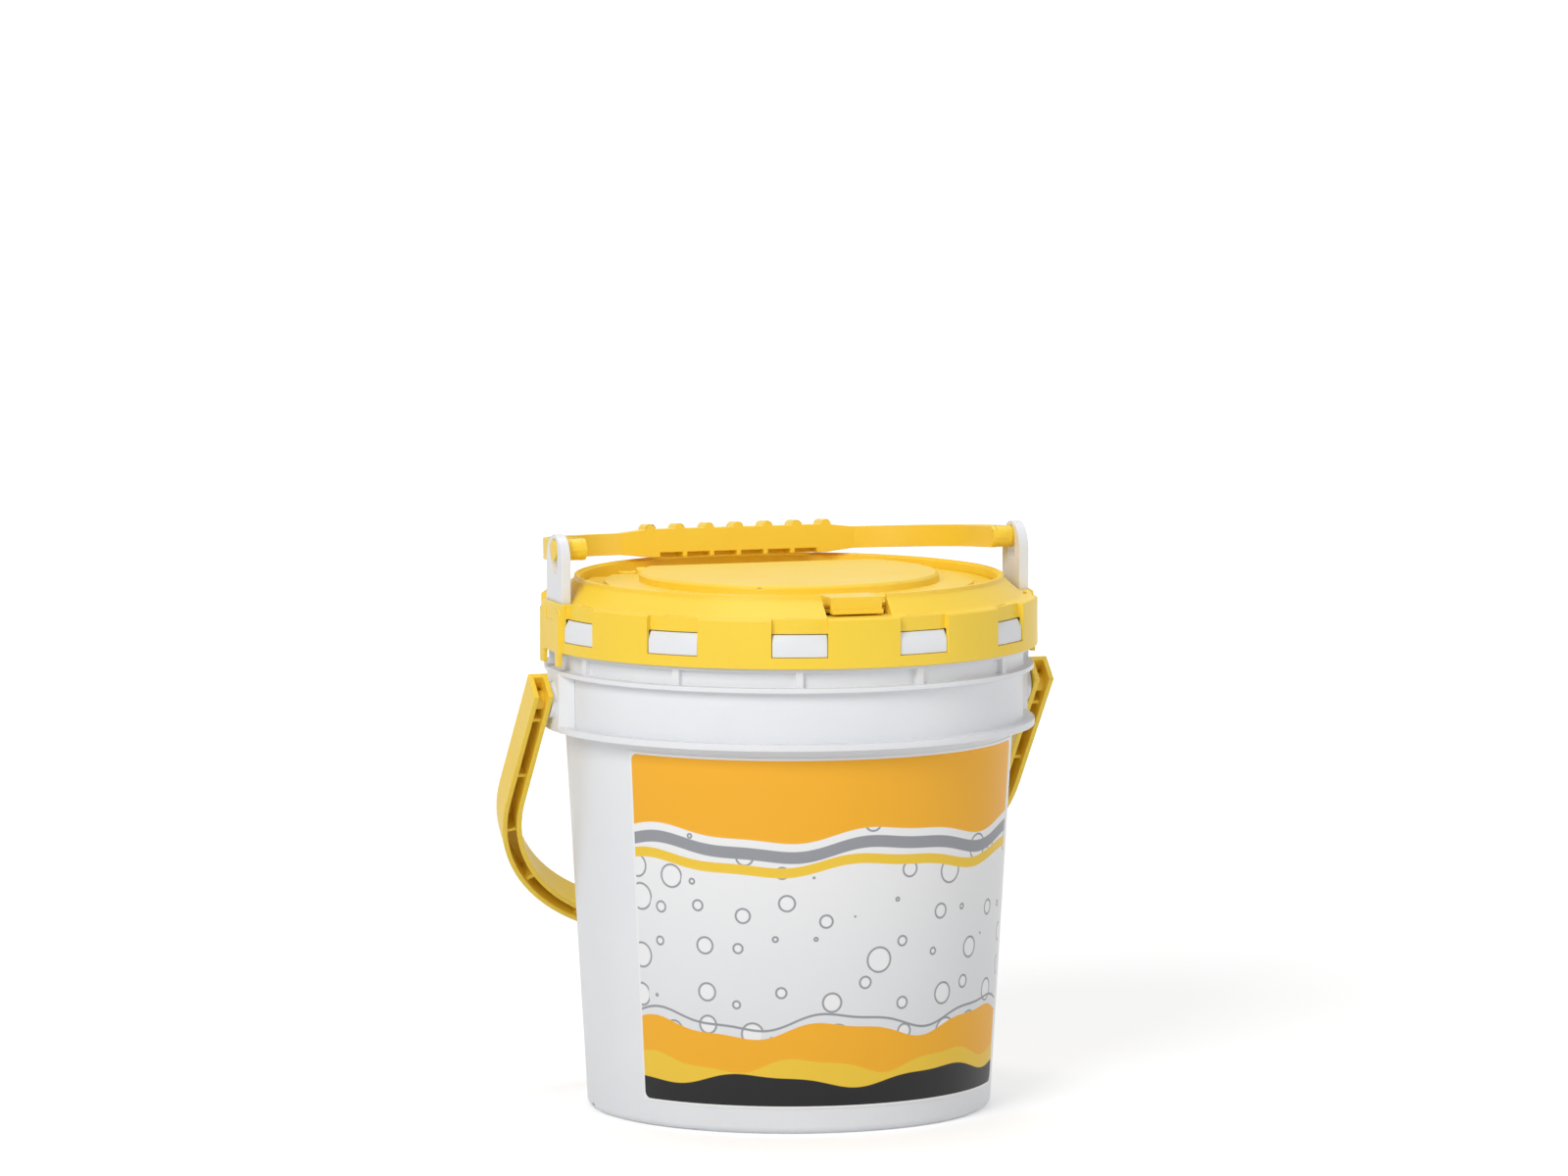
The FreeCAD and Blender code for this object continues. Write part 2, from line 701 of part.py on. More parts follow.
def latch_tab():
    """Tongue that runs out through the ridge's notch and turns down, with a barb and a finger lip."""
    half = tab_width / 2
    out = tab_face
    top = ridge_height
    low = shoulder_height + tab_floor_gap
    bridge = box(-half, half, out, -hatch_step_radius + tab_thickness, hatch_step_height - tab_thickness, top)
    apron = box(-half, half, out, out + tab_thickness, low, top)
    lip = box(-half, half, out - finger_lip, out + tab_thickness / 2, low, low + tab_thickness)
    barb_high = nose_top - catch_thickness / 2 - catch_gap
    barb = box(-catch_width / 2, catch_width / 2,
               out + tab_thickness / 2, out + tab_thickness + 2 * catch_grip, low, barb_high)
    return joined(bridge, [apron, lip, barb])


def inner_bail():
    half, depth = inner_bail_width / 2, inner_bail_depth / 2
    shape = (inner_arm, inner_bail_length, inner_bail_corner)
    band = bow(half, half, *shape, -depth, depth)
    round_ends = both_sides(rod_x(depth, inner_arm - half, inner_arm + half, 0, 0))
    bail = joined(band, round_ends)
    inside = half - inner_bail_wall
    web = inner_bail_wall / 2
    bail = bail.cut([bow(inside, inside, *shape, web, depth, -inner_bail_depth),
                     bow(inside, inside, *shape, -depth, -web, -inner_bail_depth)])
    peg_start = inner_arm - half + inner_bail_wall / 2
    peg = rod_x(inner_peg_radius, peg_start, ear_outer_face + inner_bail_gap, 0, 0)
    bail = joined(bail, both_sides(peg) + [grip()])
    bail = bail.cut(grip_pockets())
    bail = bail.rotated(CENTRE, SIDEWAYS, -90.0 - inner_lie_angle())
    return bail.translated(UP * (datum + inner_pivot_height))


def grip():
    """Hand grip in the middle of the inner bail, with finger ridges on its front side."""
    half, depth, strap = grip_length / 2, grip_depth / 2, inner_bail_depth / 2
    low = inner_bail_length - grip_width / 2
    end = half + grip_taper
    plan = [(-end, -strap, 0), (-half, -depth, 0), (half, -depth, 0), (end, -strap, 0),
            (end, strap, 0), (half, depth, 0), (-half, depth, 0), (-end, strap, 0)]
    block = Part.Face(outline(plan, lambda x, y: Vector(x, y, low))).extrude(UP * grip_width)
    ridges = []
    for index in range(ridge_count):
        x = grip_length * index / (ridge_count - 1) - half
        y = finger_ridge_radius - finger_ridge_rise - depth
        ridges.append(Part.makeCylinder(finger_ridge_radius, grip_width, Vector(x, y, low)))
    return joined(block, ridges)


def grip_pockets():
    """Pockets in the grip's back side, and the low stretch of its inner wall beside each."""
    depth = grip_depth / 2
    low = inner_bail_length - grip_width / 2
    pitch = (grip_length - 2 * grip_pocket_margin + bail_rib) / grip_pocket_count
    cuts = []
    for index in range(grip_pocket_count):
        x = pitch * (index - (grip_pocket_count - 1) / 2)
        side = (pitch - bail_rib) / 2
        cuts.append(box(x - side, x + side, inner_bail_wall - depth, grip_depth,
                        low + inner_bail_wall, low + grip_width - inner_bail_wall))
        cuts.append(box(x - side, x + side, depth - grip_notch, grip_depth, low - inner_bail_wall,
                        low + 2 * inner_bail_wall))
    return cuts


def inner_lie_angle():
    """Angle below level at which the grip lies back on the lid's ridge."""
    reach = inner_bail_length + grip_width / 2
    height = inner_pivot_height - ridge_height - bead_rise - bail_rest_gap
    span = math.hypot(reach, grip_depth / 2)
    return math.degrees(math.asin(height / span) - math.atan2(grip_depth / 2, reach))


def front_label():
    corners = []
    faces = (label_gap, label_gap + label_thickness)
    for offset, z in zip(faces + faces[::-1], (label_low, label_low, label_high, label_high)):
        corners.append((body_radius(z) + offset, z, 0))
    return turned(corners, FRONT, 2 * label_half_angle)


nodes = {
    "outer_bucket": outer_bucket,
    "outer_bail": outer_bail,
    "inner_bucket": inner_bucket,
    "strainer_base": strainer_base,
    "lid_ring": lid_ring,
    "hatch": hatch,
    "inner_bail": inner_bail,
    "front_label": front_label,
}
os.makedirs("parts", exist_ok=True)
for name, make in nodes.items():
    make().exportStep("parts/" + name + ".step")
print("outer bail hangs at", round(outer_hang_angle(), 2), "degrees from straight down")
print("inner bail lies at", round(inner_lie_angle(), 2), "degrees below level")
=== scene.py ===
import json
import math

import bpy
from bpy.props import FloatProperty, FloatVectorProperty, PointerProperty
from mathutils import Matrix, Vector

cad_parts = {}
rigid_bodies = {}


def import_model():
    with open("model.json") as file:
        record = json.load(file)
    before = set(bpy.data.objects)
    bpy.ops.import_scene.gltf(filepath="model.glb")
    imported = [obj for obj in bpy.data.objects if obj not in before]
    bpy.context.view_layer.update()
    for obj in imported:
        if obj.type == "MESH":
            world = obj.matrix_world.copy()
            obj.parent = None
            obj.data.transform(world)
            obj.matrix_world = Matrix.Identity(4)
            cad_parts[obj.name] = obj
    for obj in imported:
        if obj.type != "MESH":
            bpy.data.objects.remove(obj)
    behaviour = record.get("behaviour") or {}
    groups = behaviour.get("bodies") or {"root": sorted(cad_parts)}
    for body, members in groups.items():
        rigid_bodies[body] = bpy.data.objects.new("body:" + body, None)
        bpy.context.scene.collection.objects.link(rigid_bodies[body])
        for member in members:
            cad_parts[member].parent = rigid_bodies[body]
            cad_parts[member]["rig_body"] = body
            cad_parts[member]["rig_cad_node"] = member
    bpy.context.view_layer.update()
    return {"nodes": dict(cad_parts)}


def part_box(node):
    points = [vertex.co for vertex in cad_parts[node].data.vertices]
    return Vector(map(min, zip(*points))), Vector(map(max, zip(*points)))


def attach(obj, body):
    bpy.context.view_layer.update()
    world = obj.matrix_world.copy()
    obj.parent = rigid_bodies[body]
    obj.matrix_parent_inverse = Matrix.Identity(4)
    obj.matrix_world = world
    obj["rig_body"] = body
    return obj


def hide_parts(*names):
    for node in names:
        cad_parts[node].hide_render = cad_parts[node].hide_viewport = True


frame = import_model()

bl_info = {
    "name": "Bait bucket",
    "version": (1, 0, 0),
    "blender": (4, 5, 0),
    "location": "3D View > Sidebar > Bait bucket",
    "description": "Dresses the mouldings of a two-part bait bucket, prints its label and sets its stage",
    "category": "Object",
}

MERGE_DISTANCE = 1e-6
FLAT_ANGLE = math.radians(0.4)
EDGE_ANGLE = math.radians(35.0)
SMOOTH_ANGLE = math.radians(40.0)
EDGE_STEPS = 2
STRAY_DISTANCE = 0.0002

# Finish of the mouldings and of the film
WHITE_ROUGHNESS = 0.34
STRAINER_ROUGHNESS = 0.4
YELLOW_ROUGHNESS = 0.36
FILM_ROUGHNESS = 0.4
FILM_SPECULAR = 0.3
PLASTIC_SKIN = {"grain_scale": 900.0, "cloud_scale": 22.0}
FILM_SKIN = {"grain_scale": 1400.0, "cloud_scale": 14.0}
PLASTIC_SHEEN = 0.25
FILM_SHEEN = 0.2
PLASTIC_BUMP = 0.25
FILM_BUMP = 0.12
BUMP_DEPTH = 0.0002
GRAIN_DETAIL = 3.0
CLOUD_DETAIL = 2.0
CLOUD_HEIGHT = 0.6

# Layout of the print, in metres and radians
TOP_WAVE = {"swing": 0.0035, "wave_length": 0.118, "shift": 0.6}
YELLOW_WAVE = {"swing": 0.0032, "wave_length": 0.118, "shift": 0.9}
GREY_WAVE = {"swing": 0.004, "wave_length": 0.096, "shift": 2.0}
ORANGE_WAVE = {"swing": 0.004, "wave_length": 0.096, "shift": 2.2}
CREST_WAVE = {"swing": 0.0035, "wave_length": 0.083, "shift": 3.4}
DARK_WAVE = {"swing": 0.003, "wave_length": 0.104, "shift": 4.6}
SHORT_WAVE_RATE = 2.3
SHORT_WAVE_SHARE = 0.3
WAVE_SOFTNESS = 0.0005
BAND_GAP = 0.004
GREY_WIDTH = 0.006
YELLOW_DROP = 0.0085
YELLOW_WIDTH = 0.005
LINE_GAP = 0.005
LINE_WIDTH = 0.0012
CREST_RISE = 0.0075
TINT_SHARE = 0.55
BUBBLES = {"spacing": 0.021, "size": 0.0068, "line": 0.0005}
BUBBLE_SCATTER = 0.7
RING_PEAK = 1.5
SHINE_RISE = 0.35

# Stage
STAGE_MIDDLE = (0.0, 0.0, 0.2)
KEY_PLACE = (-1.5, -1.6, 1.5)
FILL_PLACE = (1.8, -1.3, 0.9)
TOP_PLACE = (0.1, 0.5, 2.0)
PURE_WHITE = (1.0, 1.0, 1.0, 1.0)
FLOOR_COLOUR = (0.86, 0.86, 0.86, 1.0)
FLOOR_SIZE = 200.0
FLOOR_ROUGHNESS = 0.9
FLOOR_SPECULAR = 0.1
SENSOR_WIDTH = 36.0
VIEW_REACH = 500.0

label_low, label_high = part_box("front_label")


def colour_property(name, description, default):
    """A colour that the user can change."""
    return FloatVectorProperty(
        name=name, description=description, default=default, size=3, subtype="COLOR", min=0.0, max=1.0)


def length_property(name, description, default):
    """A length in metres that the user can change."""
    return FloatProperty(
        name=name, description=description, default=default, unit="LENGTH", min=0.0, precision=5)


def angle_property(name, description, degrees):
    """An angle that the user can change."""
    return FloatProperty(name=name, description=description, default=math.radians(degrees), unit="ROTATION")


def power_property(name, description, default):
    """A lamp's power in watts that the user can change."""
    return FloatProperty(name=name, description=description, default=default, unit="POWER", min=0.0)


def share_property(name, description, default):
    """A plain number that the user can change."""
    return FloatProperty(name=name, description=description, default=default, min=0.0)


class EdgeSettings(bpy.types.PropertyGroup):
    """How far the mould rounds the edges of each piece."""

    buckets: length_property("Bucket edges", "Rounding of both buckets' edges", 0.0004)
    strainer: length_property("Strainer edges", "Rounding of the strainer's edges", 0.0004)
    lid: length_property("Lid edges", "Rounding of the edges of the lid ring and the hatch", 0.0004)
    handles: length_property("Handle edges", "Rounding of both handles' edges", 0.0004)


class LugSettings(bpy.types.PropertyGroup):
    """Where the lugs of the inner bucket are, and how far they fill the lid's windows."""

    reach: length_property("Lug reach", "Radius beyond which a point belongs to a lug", 0.122)
    low: length_property("Lug foot", "Below all lugs", 0.240)
    high: length_property("Lug head", "Above all lugs", 0.2515)
    level: length_property("Lug level", "Middle height of the lugs", 0.24575)
    pitch: angle_property("Lug pitch", "Turn from one lug to the next", 30.0)
    half_turn: angle_property("Lug half turn", "Turn from a lug's middle beyond its side", 6.2)
    spread: share_property("Lug spread", "How much larger a lug's outer face gets", 1.06)


class PlasticSettings(bpy.types.PropertyGroup):
    """Colours and finish of the moulded plastics."""

    white: colour_property("White", "Plastic of both buckets", (0.82, 0.83, 0.85))
    white_shade: colour_property("White, shaded", "Cloudier white plastic", (0.77, 0.785, 0.815))
    strainer: colour_property("Strainer", "Plastic of the strainer", (0.80, 0.80, 0.795))
    strainer_shade: colour_property("Strainer, shaded", "Cloudier strainer plastic", (0.755, 0.75, 0.735))
    yellow: colour_property("Yellow", "Plastic of the lid, the hatch and the handles", (0.95, 0.675, 0.05))
    yellow_shade: colour_property("Yellow, shaded", "Deeper yellow plastic", (0.92, 0.605, 0.036))
    glow_depth: length_property("Glow depth", "How far light spreads inside the plastic", 0.003)
    glow: share_property("Glow", "How much of the light spreads inside the plastic", 0.08)


class LabelSettings(bpy.types.PropertyGroup):
    """Inks and layout of the printed label. Heights are above the floor."""

    ground: colour_property("Film", "White film under the inks", (0.86, 0.86, 0.865))
    water: colour_property("Pale ink", "Soft tint of the middle", (0.66, 0.69, 0.72))
    orange: colour_property("Orange ink", "Top band and lower wave", (0.89, 0.435, 0.025))
    yellow: colour_property("Yellow ink", "Narrow band and crest", (0.86, 0.57, 0.05))
    grey: colour_property("Grey ink", "Narrow band, line and bubbles", (0.30, 0.31, 0.335))
    dark: colour_property("Dark ink", "Lowest wave", (0.012, 0.012, 0.013))
    wrap_radius: length_property("Wrap radius", "Radius at which the print is laid out", 0.107)
    margin: length_property("Margin", "Bare film along the edges", 0.0012)
    corner: length_property("Corner", "Rounding of the print's corners", 0.0035)
    band_height: length_property("Top band", "Lower edge of the orange band", 0.150)
    wave_height: length_property("Lower wave", "Upper edge of the lower orange wave", 0.052)
    dark_height: length_property("Dark wave", "Upper edge of the dark wave", 0.027)


class StageSettings(bpy.types.PropertyGroup):
    """Camera, lamps and floor."""

    camera_distance: length_property("Camera distance", "From the bucket's axis, along the floor", 4.5)
    camera_height: length_property("Camera height", "Above the floor", 0.7285)
    camera_turn: angle_property("Camera turn", "Round the bucket, from its front", -17.5)
    camera_dip: angle_property("Camera dip", "Below the horizon", 5.922)
    camera_heading: angle_property("Camera heading", "Turn to the left of the bucket's axis", 0.031)
    camera_lens: FloatProperty(
        name="Lens", description="Focal length on a sensor 36 mm wide", default=206.2, unit="CAMERA")
    key_power: power_property("Key lamp", "Power of the left lamp", 34.0)
    fill_power: power_property("Fill lamp", "Power of the right lamp", 9.0)
    top_power: power_property("Top lamp", "Power of the upper lamp", 12.5)
    lamp_size: length_property("Lamp size", "Side of each square lamp", 1.1)
    surroundings: share_property("Surroundings", "Light from all round", 0.32)
    near_glow: share_property("Near floor glow", "How much the floor is whitened by the bucket", 0.34)
    far_glow: share_property("Far floor glow", "How much the floor is whitened far from the bucket", 0.78)
    near_reach: length_property("Near floor", "Where the glow starts to rise, from the bucket's axis", 0.3)
    far_reach: length_property("Far floor", "Where the glow is full, from the bucket's axis", 2.4)


def select_only(piece):
    """Leaves one object selected and active."""
    bpy.ops.object.select_all(action="DESELECT")
    piece.select_set(True)
    bpy.context.view_layer.objects.active = piece


def moulded_copy(node, name, body, edge_radius, material):
    """A merged copy of a CAD node with rounded edges, which then stands for that node."""
    select_only(frame["nodes"][node])
    bpy.ops.object.duplicate()
    piece = bpy.context.view_layer.objects.active
    piece.name = name
    piece.data.name = name
    bpy.ops.object.parent_clear(type="CLEAR_KEEP_TRANSFORM")
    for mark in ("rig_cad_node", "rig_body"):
        if mark in piece:
            del piece[mark]
    bpy.ops.mesh.customdata_custom_splitnormals_clear()
    bpy.ops.object.mode_set(mode="EDIT")
    bpy.ops.mesh.select_all(action="SELECT")
    bpy.ops.mesh.remove_doubles(threshold=MERGE_DISTANCE)
    bpy.ops.mesh.tris_convert_to_quads(face_threshold=FLAT_ANGLE, shape_threshold=math.pi)
    bpy.ops.object.mode_set(mode="OBJECT")
    round_edges(piece, edge_radius)
    settle_strays(piece, frame["nodes"][node])
    even_normals(piece)
    piece.data.materials.clear()
    piece.data.materials.append(material)
    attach(piece, body)
    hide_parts(node)
    return piece


def round_edges(piece, radius):
    """Bevels the sharp edges of a piece."""
    bevel = piece.modifiers.new("Rounded edges", "BEVEL")
    bevel.limit_method = "ANGLE"
    bevel.angle_limit = EDGE_ANGLE
    bevel.width = radius
    bevel.segments = EDGE_STEPS
    bevel.use_clamp_overlap = False
    bpy.ops.object.modifier_apply(modifier=bevel.name)


def settle_strays(piece, solid):
    """Puts the few points that a bevel throws off the solid back on its surface."""
    for vertex in piece.data.vertices:
        place = solid.closest_point_on_mesh(vertex.co)[1]
        if (vertex.co - place).length > STRAY_DISTANCE:
            vertex.co = place


def even_normals(piece):
    """Shades a piece smooth between its rounded edges."""
    bpy.ops.object.shade_smooth_by_angle(angle=SMOOTH_ANGLE)
    evened = piece.modifiers.new("Evened normals", "WEIGHTED_NORMAL")
    evened.keep_sharp = True
    bpy.ops.object.modifier_apply(modifier=evened.name)


def widen_lugs(piece, lugs):
    """Spreads the outer faces of the lugs until they all but fill the lid's windows."""
    for vertex in piece.data.vertices:
        x, y, z = vertex.co
        reach = math.hypot(x, y)
        turn = math.atan2(x, -y)
        middle = (math.floor(turn / lugs.pitch) + 0.5) * lugs.pitch
        if reach > lugs.reach and lugs.low < z < lugs.high and abs(turn - middle) < lugs.half_turn:
            wider = middle + (turn - middle) * lugs.spread
            taller = lugs.level + (z - lugs.level) * lugs.spread
            vertex.co = (reach * math.sin(wider), -reach * math.cos(wider), taller)


def wire(tree, source, socket):
    """Links an output to a socket, or sets a fixed value on it."""
    if isinstance(source, bpy.types.NodeSocket):
        tree.links.new(source, socket)
    else:
        socket.default_value = source


def calculate(tree, operation, *values, clamped=False):
    """The output of a Math node fed with outputs or fixed numbers."""
    node = tree.nodes.new("ShaderNodeMath")
    node.operation = operation
    node.use_clamp = clamped
    for value, socket in zip(values, node.inputs):
        wire(tree, value, socket)
    return node.outputs[0]


def blend_colours(tree, mask, under, over):
    """The output of a colour mix: under where the mask is 0, over where it is 1."""
    node = tree.nodes.new("ShaderNodeMix")
    node.data_type = "RGBA"
    wire(tree, mask, node.inputs[0])
    wire(tree, under, node.inputs[6])
    wire(tree, over, node.inputs[7])
    return node.outputs[2]


def noise(tree, place, scale, detail):
    """The value of a noise texture."""
    node = tree.nodes.new("ShaderNodeTexNoise")
    wire(tree, place, node.inputs["Vector"])
    wire(tree, scale, node.inputs["Scale"])
    node.inputs["Detail"].default_value = detail
    return node.outputs["Fac"]


def object_place(tree):
    """The piece's own coordinates, in metres."""
    return tree.nodes.new("ShaderNodeTexCoord").outputs["Object"]


def opaque(colour):
    """A colour with full alpha."""
    return (*colour, 1.0)


def new_group(name, inputs, outputs):
    """A shader node group with value sockets, and its two ends."""
    group = bpy.data.node_groups.new(name, "ShaderNodeTree")
    for label in inputs:
        group.interface.new_socket(label, in_out="INPUT", socket_type="NodeSocketFloat")
    for label in outputs:
        group.interface.new_socket(label, in_out="OUTPUT", socket_type="NodeSocketFloat")
    start = group.nodes.new("NodeGroupInput")
    end = group.nodes.new("NodeGroupOutput")
    return group, start.outputs, end.inputs


def place_group(tree, group, **values):
    """Puts a group in a material; values are named after its inputs, with _ for a space."""
    node = tree.nodes.new("ShaderNodeGroup")
    node.node_tree = group
    for label, value in values.items():
        wire(tree, value, node.inputs[label.replace("_", " ")])
    return node.outputs


def moulded_skin_group():
    """The fine grain, cloudiness and uneven sheen of a moulded surface."""
    name = "moulded skin"
    if name in bpy.data.node_groups:
        return bpy.data.node_groups[name]
    group, given, result = new_group(name, ("grain scale", "cloud scale"), ("height", "cloud", "sheen"))
    place = object_place(group)
    grain = noise(group, place, given["grain scale"], GRAIN_DETAIL)
    cloud = noise(group, place, given["cloud scale"], CLOUD_DETAIL)
    group.links.new(calculate(group, "MULTIPLY_ADD", cloud, CLOUD_HEIGHT, grain), result["height"])
    group.links.new(cloud, result["cloud"])
    group.links.new(calculate(group, "MULTIPLY", grain, cloud), result["sheen"])
    return group


def wrapped_place_group():
    """Where a point lies on the unrolled label: along it from the middle, and above the floor."""
    group, given, result = new_group("wrapped place", ("wrap radius",), ("along", "height"))
    parts = group.nodes.new("ShaderNodeSeparateXYZ")
    group.links.new(object_place(group), parts.inputs[0])
    forward = calculate(group, "MULTIPLY", parts.outputs["Y"], -1.0)
    angle = calculate(group, "ARCTAN2", parts.outputs["X"], forward)
    group.links.new(calculate(group, "MULTIPLY", angle, given["wrap radius"]), result["along"])
    group.links.new(parts.outputs["Z"], result["height"])
    return group


def wave_mask_group():
    """1 below a wavy line and 0 above it, with a soft edge."""
    inputs = ("along", "height", "level", "swing", "wave length", "shift", "softness")
    group, given, result = new_group("wave mask", inputs, ("below",))
    turns = calculate(group, "DIVIDE", given["along"], given["wave length"])
    phase = calculate(group, "MULTIPLY_ADD", turns, 2.0 * math.pi, given["shift"])
    long_wave = calculate(group, "SINE", phase)
    short_wave = calculate(group, "SINE", calculate(group, "MULTIPLY", phase, SHORT_WAVE_RATE))
    shape = calculate(group, "MULTIPLY_ADD", short_wave, SHORT_WAVE_SHARE, long_wave)
    line = calculate(group, "MULTIPLY_ADD", shape, given["swing"], given["level"])
    room = calculate(group, "SUBTRACT", line, given["height"])
    edge = calculate(group, "DIVIDE", room, given["softness"])
    group.links.new(calculate(group, "ADD", edge, 0.5, clamped=True), result["below"])
    return group


def bubble_mask_group():
    """Rings and shines of bubbles of many sizes, strewn over a flat sheet."""
    inputs = ("along", "height", "spacing", "size", "line")
    group, given, result = new_group("bubble mask", inputs, ("ring", "shine"))
    place = group.nodes.new("ShaderNodeCombineXYZ")
    group.links.new(given["along"], place.inputs["X"])
    group.links.new(given["height"], place.inputs["Y"])
    cells = group.nodes.new("ShaderNodeTexVoronoi")
    cells.voronoi_dimensions = "2D"
    cells.inputs["Randomness"].default_value = BUBBLE_SCATTER
    group.links.new(place.outputs["Vector"], cells.inputs["Vector"])
    group.links.new(calculate(group, "DIVIDE", 1.0, given["spacing"]), cells.inputs["Scale"])
    distance = calculate(group, "MULTIPLY", cells.outputs["Distance"], given["spacing"])
    chance = group.nodes.new("ShaderNodeSeparateColor")
    group.links.new(cells.outputs["Color"], chance.inputs["Color"])
    radius = calculate(group, "MULTIPLY", chance.outputs["Red"], given["size"])
    off = calculate(group, "ABSOLUTE", calculate(group, "SUBTRACT", distance, radius))
    nearness = calculate(group, "DIVIDE", off, given["line"])
    group.links.new(calculate(group, "SUBTRACT", RING_PEAK, nearness, clamped=True), result["ring"])
    inside = calculate(group, "DIVIDE", calculate(group, "SUBTRACT", radius, distance), given["line"])
    group.links.new(calculate(group, "MULTIPLY", inside, SHINE_RISE, clamped=True), result["shine"])
    return group


def moulded_plastic(name, colour, shade, roughness, plastics):
    """A satin moulded plastic with a fine grain, a cloudy colour and a faint inner glow."""
    if name in bpy.data.materials:
        return bpy.data.materials[name]
    material = bpy.data.materials.new(name)
    material.use_nodes = True
    tree = material.node_tree
    surface = tree.nodes["Principled BSDF"]
    surface.inputs["Subsurface Weight"].default_value = plastics.glow
    surface.inputs["Subsurface Scale"].default_value = plastics.glow_depth
    marks = place_group(tree, moulded_skin_group(), **PLASTIC_SKIN)
    colours = blend_colours(tree, marks["cloud"], opaque(colour), opaque(shade))
    tree.links.new(colours, surface.inputs["Base Color"])
    gloss = calculate(tree, "MULTIPLY_ADD", marks["sheen"], PLASTIC_SHEEN, roughness)
    tree.links.new(gloss, surface.inputs["Roughness"])
    raise_surface(tree, surface, marks["height"], PLASTIC_BUMP)
    return material


def raise_surface(tree, surface, height, strength):
    """Feeds a height through a Bump node to a shader."""
    bump = tree.nodes.new("ShaderNodeBump")
    bump.inputs["Strength"].default_value = strength
    bump.inputs["Distance"].default_value = BUMP_DEPTH
    tree.links.new(height, bump.inputs["Height"])
    tree.links.new(bump.outputs["Normal"], surface.inputs["Normal"])


class BUCKET_OT_buckets(bpy.types.Operator):
    """Dresses the two white buckets"""

    bl_idname = "bucket.buckets"
    bl_label = "Dress the buckets"

    def execute(self, context):
        edge = context.scene.bucket_edges.buckets
        plastics = context.scene.bucket_plastics
        white = moulded_plastic(
            "White plastic", plastics.white, plastics.white_shade, WHITE_ROUGHNESS, plastics)
        moulded_copy("outer_bucket", "outer_bucket_moulding", "pail", edge, white)
        liner = moulded_copy("inner_bucket", "inner_bucket_moulding", "liner", edge, white)
        widen_lugs(liner, context.scene.bucket_lugs)
        return {"FINISHED"}


class BUCKET_OT_strainer(bpy.types.Operator):
    """Dresses the strainer base"""

    bl_idname = "bucket.strainer"
    bl_label = "Dress the strainer"

    def execute(self, context):
        edge = context.scene.bucket_edges.strainer
        plastics = context.scene.bucket_plastics
        cloudy = moulded_plastic(
            "Strainer plastic", plastics.strainer, plastics.strainer_shade, STRAINER_ROUGHNESS, plastics)
        moulded_copy("strainer_base", "strainer_moulding", "liner", edge, cloudy)
        return {"FINISHED"}


def yellow_plastic(plastics):
    """The plastic of the lid, the hatch and the handles."""
    return moulded_plastic(
        "Yellow plastic", plastics.yellow, plastics.yellow_shade, YELLOW_ROUGHNESS, plastics)


class BUCKET_OT_lid(bpy.types.Operator):
    """Dresses the lid ring and its hatch"""

    bl_idname = "bucket.lid"
    bl_label = "Dress the lid"

    def execute(self, context):
        edge = context.scene.bucket_edges.lid
        yellow = yellow_plastic(context.scene.bucket_plastics)
        moulded_copy("lid_ring", "lid_ring_moulding", "liner", edge, yellow)
        moulded_copy("hatch", "hatch_moulding", "door", edge, yellow)
        return {"FINISHED"}


class BUCKET_OT_handles(bpy.types.Operator):
    """Dresses both bail handles"""

    bl_idname = "bucket.handles"
    bl_label = "Dress the handles"

    def execute(self, context):
        edge = context.scene.bucket_edges.handles
        yellow = yellow_plastic(context.scene.bucket_plastics)
        moulded_copy("outer_bail", "outer_bail_moulding", "pail_handle", edge, yellow)
        moulded_copy("inner_bail", "inner_bail_moulding", "liner_handle", edge, yellow)
        return {"FINISHED"}


